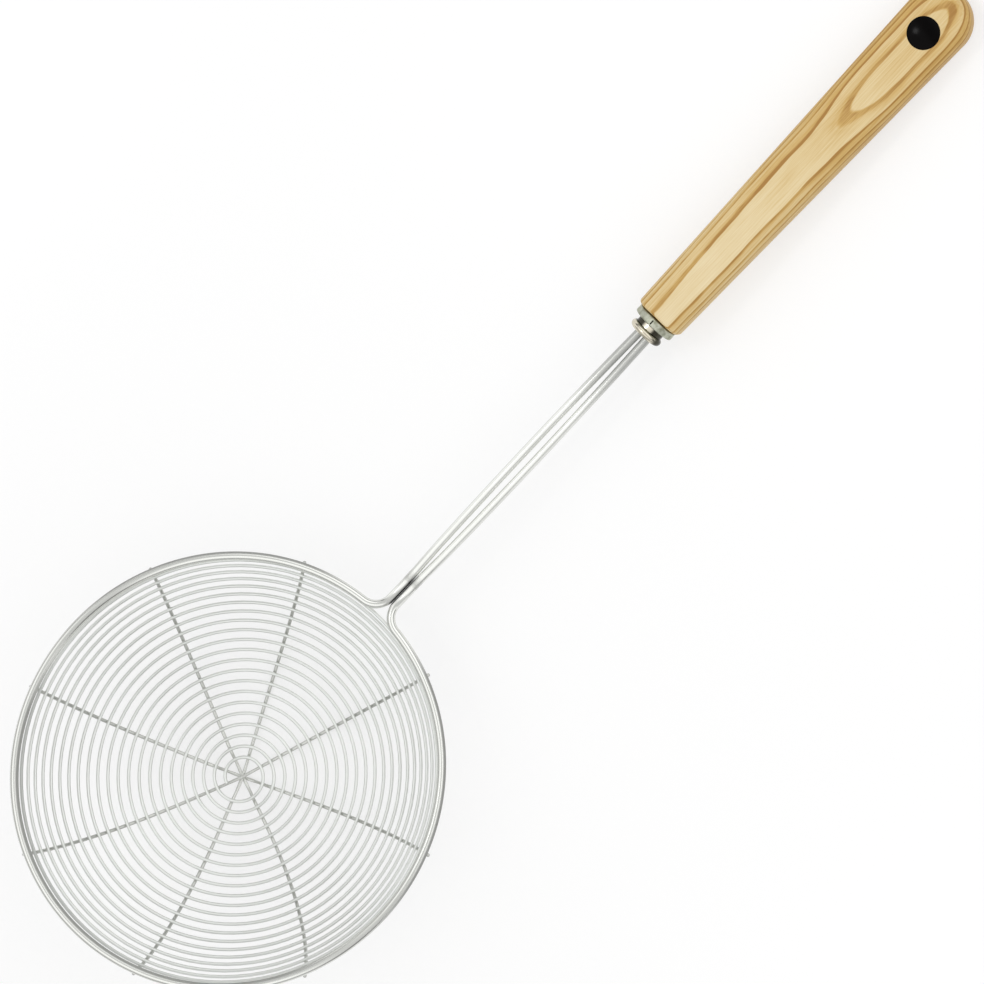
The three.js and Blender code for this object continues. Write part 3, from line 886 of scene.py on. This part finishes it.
    tree.links.new(shader.outputs["BSDF"], output.inputs["Surface"])
    return material


def closeRound(bm, loop):
    # flat face between the border of a hole and a new loop inside it
    border = [edge for edge in bm.edges if edge.is_boundary]
    bmesh.ops.triangle_fill(bm, edges=border + loop, use_beauty=True)


def sinkLoop(bm, loop, vec):
    # pushes a loop into the wood and closes its far end
    pushed = bmesh.ops.extrude_edge_only(bm, edges=loop)["geom"]
    bmesh.ops.translate(bm, vec=vec, verts=[item for item in pushed if isinstance(item, bmesh.types.BMVert)])
    bmesh.ops.holes_fill(bm, edges=[edge for edge in bm.edges if edge.is_boundary], sides=0)


def makeHandle():
    bm = bmesh.new()
    half = handle["thickness"] / 2
    tipRadius = handle["widthTip"] / 2
    tipX = handle["length"] - tipRadius
    taper = (handle["widthTip"] - handle["widthFerrule"]) / 2 / tipX
    # plan of the blank: half round tip and a straight taper, longer than needed
    first = bm.verts.new((tipX, -tipRadius, -half))
    bmesh.ops.spin(bm, geom=[first], cent=(tipX, 0, -half), axis=(0, 0, 1), angle=math.pi,
                   steps=handle["tipSteps"])
    outline = list(bm.verts)
    spareHalf = handle["widthFerrule"] / 2 - taper * handle["spare"]
    corners = [bm.verts.new((-handle["spare"], side * spareHalf, -half)) for side in (1, -1)]
    bm.faces.new(outline + corners)
    raised = bmesh.ops.extrude_face_region(bm, geom=bm.faces[:])["geom"]
    bmesh.ops.translate(bm, vec=(0, 0, handle["thickness"]),
                        verts=[item for item in raised if isinstance(item, bmesh.types.BMVert)])
    bmesh.ops.recalc_face_normals(bm, faces=bm.faces)
    rims = [edge for edge in bm.edges if abs(edge.verts[0].co.z - edge.verts[1].co.z) < seat]
    bmesh.ops.bevel(bm, geom=rims, affect="EDGES", offset=handle["edge"], offset_type="OFFSET",
                    segments=handle["edgeSegments"], profile=0.5, material=-1)
    # saw the spare end off, and break the cut's edge
    bmesh.ops.bisect_plane(bm, geom=bm.verts[:] + bm.edges[:] + bm.faces[:], plane_co=(0, 0, 0),
                           plane_no=(1, 0, 0), clear_inner=True)
    cut = [edge for edge in bm.edges if edge.is_boundary]
    bmesh.ops.holes_fill(bm, edges=cut, sides=0)
    bmesh.ops.recalc_face_normals(bm, faces=bm.faces)
    bmesh.ops.bevel(bm, geom=cut, affect="EDGES", offset=handle["endRound"], offset_type="OFFSET",
                    segments=handle["endSegments"], profile=0.5, material=-1)
    # blind slot for the tang
    end = max(bm.faces, key=lambda face: -face.normal.x * face.calc_area())
    bmesh.ops.delete(bm, geom=[end], context="FACES_ONLY")
    slotLoop = ringLoop(bm, 0, legBore, handle["slotRounds"], legAtFerrule)
    closeRound(bm, slotLoop)
    sinkLoop(bm, slotLoop, (frameWire["tangDepth"] + seat, 0, 0))
    # recess for the plug, in the flat of the top
    flats = sorted(bm.faces, key=lambda face: abs(face.normal.z) * face.calc_area())[-2:]
    bmesh.ops.inset_individual(bm, faces=flats, thickness=handle["flatInset"])
    top = max(flats, key=lambda face: face.normal.z)
    bmesh.ops.delete(bm, geom=[top], context="FACES_ONLY")
    recessRadius = handle["plugDiameter"] / 2 + handle["plugGap"]
    recess = bmesh.ops.create_circle(bm, segments=handle["plugRounds"], radius=recessRadius,
                                     matrix=plugAt)["verts"]
    recessLoop = loopEdges(recess)
    closeRound(bm, recessLoop)
    sinkLoop(bm, recessLoop, (0, 0, -handle["plugDepth"] - seat))
    bmesh.ops.recalc_face_normals(bm, faces=bm.faces)
    return bm


handleWood = ashWood("ashSandedOiled", {
    "tones": [(0.0, "#ebdbb5"), (0.3, "#dfc794"), (0.6, "#cba65f"), (1.0, "#a67833")],
    "ringPitch": 1.49, "ringAt": 12.42, "pithAbove": 12.0,
    "asideStart": 1.6, "asideEnd": 0.75, "asideLength": 46.0,  # the pith line drifts across
    "slant": 0.006, "bendFrom": 66.0, "bendTo": 90.0, "bendDrop": 1.1,
    "tipFrom": 108.0, "tipTo": 121.5, "tipRise": 0.95,
    # depth of colour through one ring
    "ringStops": [(0, 0.95), (0.13, 0.85), (0.25, 0.44), (0.45, 0.28), (0.75, 0.18), (0.93, 0.2), (1, 0.95)],
    "innerFrom": 11.3, "innerTo": 12.2, "inner": 0.72,
    "outerFrom": 12.6, "outerTo": 13.5, "outer": 0.25, "outerRings": 0.6,
    "wander": 0.6, "wanderLength": 18.0, "wanderWidth": 9.0, "wanderSeed": (3.1, 1.7, 0.4),
    "fadeLength": 15.0, "fadeWidth": 5.0, "fadeFrom": 0.35, "fadeTo": 0.65, "fadeLow": 0.75, "fadeHigh": 1.15,
    # painted shade towards the tip
    "tipShadeFrom": 15.0, "tipShadeTo": 112.0, "tipShade": 0.24,
    "fibreLength": 20.0, "fibreWidth": 0.4, "fibreFrom": 0.3, "fibreTo": 0.7, "fibreDepth": 0.11,
    "poreLength": 5.0, "poreWidth": 0.22, "poreFrom": 0.5, "poreTo": 0.68, "poreDepth": 0.22,
    "roughness": 0.55, "roughSpread": 0.08, "bump": 0.25, "grainDepth": 0.05,
})
finishPiece(makeHandle(), "handleAsh", gripToWorld, handleWood, "handle", handle["smoothAngle"])
print("handle: wood")


def mouldedBlack(name, settings):
    # ABS, moulded in a polished tool: deep black with a soft gloss, faintly uneven and hazed by handling
    material, tree, output = newMaterial(name)
    coords = addNode(tree, "TexCoord")
    haze = addNode(tree, "TexNoise", {
        "Vector": coords.outputs["Object"], "Scale": perMetre(settings["hazeSize"]), "Detail": 3.0,
    })
    rough = addNode(tree, "MapRange", {
        "Value": haze.outputs["Fac"], "From Min": settings["hazeFrom"], "From Max": settings["hazeTo"],
        **roughRange(settings),
    })
    tint = addNode(tree, "Mix", {
        "Factor": haze.outputs["Fac"], 6: colour(settings["colour"]), 7: colour(settings["worn"]),
    }, data_type="RGBA")
    peel = addNode(tree, "TexNoise", {
        "Vector": coords.outputs["Object"], "Scale": perMetre(settings["peelSize"]), "Detail": 1.0,
    })
    bump = addNode(tree, "Bump", {
        "Height": peel.outputs["Fac"], "Strength": settings["bump"],
        "Distance": settings["peelDepth"] * mm,
    })
    shader = addNode(tree, "BsdfPrincipled", {
        "Base Color": tint.outputs[2],
        "Roughness": rough.outputs["Result"],
        "IOR": 1.5,
        "Specular IOR Level": settings["gloss"],
        "Normal": bump.outputs["Normal"],
    })
    tree.links.new(shader.outputs["BSDF"], output.inputs["Surface"])
    return material


def makePlug():
    # half a section, spun round the plug's axis
    bm = bmesh.new()
    radius, edge = handle["plugDiameter"] / 2, handle["plugEdge"]
    section = []
    for i in range(handle["domeSteps"] + 1):
        share = i / handle["domeSteps"]
        section.append(((radius - edge) * share, handle["plugDome"] * (1 - share ** 2)))
    eased = edge * handle["plugEase"]
    bottom = -handle["plugDepth"]
    section += [(radius - eased, -eased), (radius, -edge), (radius, bottom), (0, bottom)]
    verts = [bm.verts.new((x, 0, z)) for x, z in section]
    edges = [bm.edges.new(pair) for pair in zip(verts, verts[1:])]
    bmesh.ops.spin(bm, geom=verts + edges, cent=(0, 0, 0), axis=(0, 0, 1), angle=2 * math.pi,
                   steps=handle["plugRounds"], use_merge=True)
    bmesh.ops.remove_doubles(bm, verts=bm.verts, dist=mergeDistance)
    bmesh.ops.recalc_face_normals(bm, faces=bm.faces)
    return bm


plugBlack = mouldedBlack("absMouldedBlack", {
    "colour": "#040303", "worn": "#080606", "hazeSize": 1.6, "hazeFrom": 0.3, "hazeTo": 0.7,
    "roughness": 0.17, "roughSpread": 0.04, "gloss": 0.045, "peelSize": 0.9, "peelDepth": 0.01, "bump": 0.15,
})
finishPiece(makePlug(), "plugDomed", gripToWorld @ plugAt, plugBlack, "end_plug",
            handle["plugSmoothAngle"])
print("handle: plug")


# camera, placed against the hoop: it looks almost straight down into the basket
view = {
    "aim": (108.87, 1.8, -0.835),  # hoop frame, at the middle of the picture
    "leanAcross": math.radians(-6.82),
    "leanAlong": math.radians(0.55),
    "turn": math.radians(45.62),  # the handle runs up to the right
    "distance": 1415.0,
    "lens": 182.93,
    "sensor": 36.0,
    "clipEnd": 100.0,  # metres
}
back = Vector((math.sin(view["leanAlong"]), math.sin(view["leanAcross"]), 0))
back.z = math.sqrt(1 - back.length_squared)
alongHandle = (Vector((1, 0, 0)) - back * back.x).normalized()
right = Matrix.Rotation(-view["turn"], 3, back) @ alongHandle
turned = Matrix((right, back.cross(right), back)).transposed().to_4x4()
turned.translation = Vector(view["aim"]) + back * view["distance"]
cameraData = bpy.data.cameras.new("camera")
cameraData.lens = view["lens"]
cameraData.sensor_width = view["sensor"]
cameraData.clip_end = view["clipEnd"]
camera = bpy.data.objects.new("camera", cameraData)
placed = hoopToWorld @ turned
camera.matrix_world = Matrix.LocRotScale(placed.translation, placed.to_quaternion(), None)
scene.collection.objects.link(camera)
scene.camera = camera

# floor
paper = {
    "size": 24.0,  # metres
    "colour": "#ffffff",
    "shadow": 0.42,  # share of the light's own shading that shows
}


def whitePaper():
    # matt paper: white wherever it is seen, and it still takes a soft shadow
    material, tree, output = newMaterial("paperMatt")
    rays = addNode(tree, "LightPath")
    seen = addNode(tree, "Math", {
        0: rays.outputs["Is Camera Ray"], 1: rays.outputs["Is Glossy Ray"],
    }, operation="MAXIMUM")
    seenAny = addNode(tree, "Math", {
        0: seen.outputs["Value"], 1: rays.outputs["Is Transmission Ray"],
    }, operation="MAXIMUM")
    share = addNode(tree, "Math", {
        0: seenAny.outputs["Value"], 1: 1 - paper["shadow"],
    }, operation="MULTIPLY")
    matt = addNode(tree, "BsdfDiffuse", {"Color": colour(paper["colour"])})
    white = addNode(tree, "Emission", {"Color": colour(paper["colour"]), "Strength": 1.0})
    both = addNode(tree, "MixShader", {
        0: share.outputs["Value"], 1: matt.outputs["BSDF"], 2: white.outputs["Emission"],
    })
    tree.links.new(both.outputs["Shader"], output.inputs["Surface"])
    return material


floorMesh = bmesh.new()
bmesh.ops.create_grid(floorMesh, x_segments=1, y_segments=1, size=paper["size"] / 2)
floorData = bpy.data.meshes.new("paperFloor")
floorMesh.to_mesh(floorData)
floorMesh.free()
floor = bpy.data.objects.new("paperFloor", floorData)
floorData.materials.append(whitePaper())
scene.collection.objects.link(floor)

# a white tent lights everything: bright overhead and towards the handle, dim at its foot and along its seam
tent = {
    "top": 1.34, "topFrom": 0.78, "basketSide": 0.9, "handleSide": 1.12,
    "footBasket": 0.5, "footHandle": 0.16, "footTo": 0.2, "footFrom": (-0.5, 0.6),
    "seam": 0.5, "seamFrom": 0.07, "seamTo": 0.32, "seamTurn": math.radians(11),
}
world = bpy.data.worlds.new("lightTent")
scene.world = world
world.use_nodes = True
tree = world.node_tree
tree.nodes.clear()
output = addNode(tree, "OutputWorld")
direction = addNode(tree, "TexCoord")
acrossSeam = Matrix.Rotation(tent["seamTurn"], 3, "Z") @ hoopToWorld.to_quaternion().inverted().to_matrix()
toSeam = addNode(tree, "Mapping", {
    "Vector": direction.outputs["Generated"], "Rotation": acrossSeam.to_euler(),
})
axes = addNode(tree, "SeparateXYZ", {"Vector": toSeam.outputs["Vector"]})
aside = addNode(tree, "Math", {0: axes.outputs["X"]}, operation="ABSOLUTE")
seam = addNode(tree, "MapRange", {
    "Value": aside.outputs["Value"],
    "From Min": tent["seamFrom"], "From Max": tent["seamTo"], "To Min": tent["seam"],
}, interpolation_type="SMOOTHSTEP")
sides = addNode(tree, "MapRange", {
    "Value": axes.outputs["X"], "From Min": -1.0,
    "To Min": tent["top"] * tent["basketSide"], "To Max": tent["top"] * tent["handleSide"],
})
foot = addNode(tree, "MapRange", {
    "Value": axes.outputs["X"], "From Min": tent["footFrom"][0], "From Max": tent["footFrom"][1],
    "To Min": tent["footBasket"], "To Max": tent["footHandle"],
}, interpolation_type="SMOOTHSTEP")
wall = addNode(tree, "MapRange", {
    "Value": axes.outputs["Z"], "From Min": tent["footTo"], "From Max": tent["topFrom"],
    "To Min": foot.outputs["Result"], "To Max": sides.outputs["Result"],
}, interpolation_type="SMOOTHSTEP")
light = addNode(tree, "Math", {
    0: wall.outputs["Result"], 1: seam.outputs["Result"],
}, operation="MULTIPLY")
sky = addNode(tree, "Background", {"Color": (1, 1, 1, 1), "Strength": light.outputs["Value"]})
tree.links.new(sky.outputs["Background"], output.inputs["Surface"])

# a small gridded box beside the camera gives the plug its glint, and two panels brighten the shaft
glint = {"at": (-150, 450, 1195), "aim": (283, 0, 43), "width": 170, "depth": 190, "radiance": 19.0,
         "grid": math.radians(20)}
panel = {"along": 62, "aside": 300, "above": 75, "aim": (62, 0, 5), "width": 170, "depth": 130,
         "radiance": 0.75, "grid": math.radians(150)}


def softBox(name, box, at):
    # places are in the hoop's frame
    lamp = bpy.data.lights.new(name, "AREA")
    lamp.shape = "RECTANGLE"
    lamp.size, lamp.size_y = box["width"] * mm, box["depth"] * mm
    lamp.spread = box["grid"]
    # a grid narrows the beam and makes it stronger, so the power comes down with it
    half = box["grid"] / 2
    narrowed = math.tan(half) / (math.tan(half) - half)
    lamp.energy = box["radiance"] * math.pi * lamp.size * lamp.size_y / narrowed
    lampObject = bpy.data.objects.new(name, lamp)
    stand = hoopToWorld @ Vector(at)
    towards = (stand - hoopToWorld @ Vector(box["aim"])).normalized()
    lampObject.matrix_world = Matrix.LocRotScale(stand, towards.to_track_quat("Z", "X"), None)
    lampObject.visible_camera = False
    scene.collection.objects.link(lampObject)


softBox("glintBox", glint, glint["at"])
for name, side in (("panelLeft", 1), ("panelRight", -1)):
    softBox(name, panel, (panel["along"], side * panel["aside"], panel["above"]))
scene.view_settings.view_transform = "Standard"
print("light: tent, soft box, panels and floor")
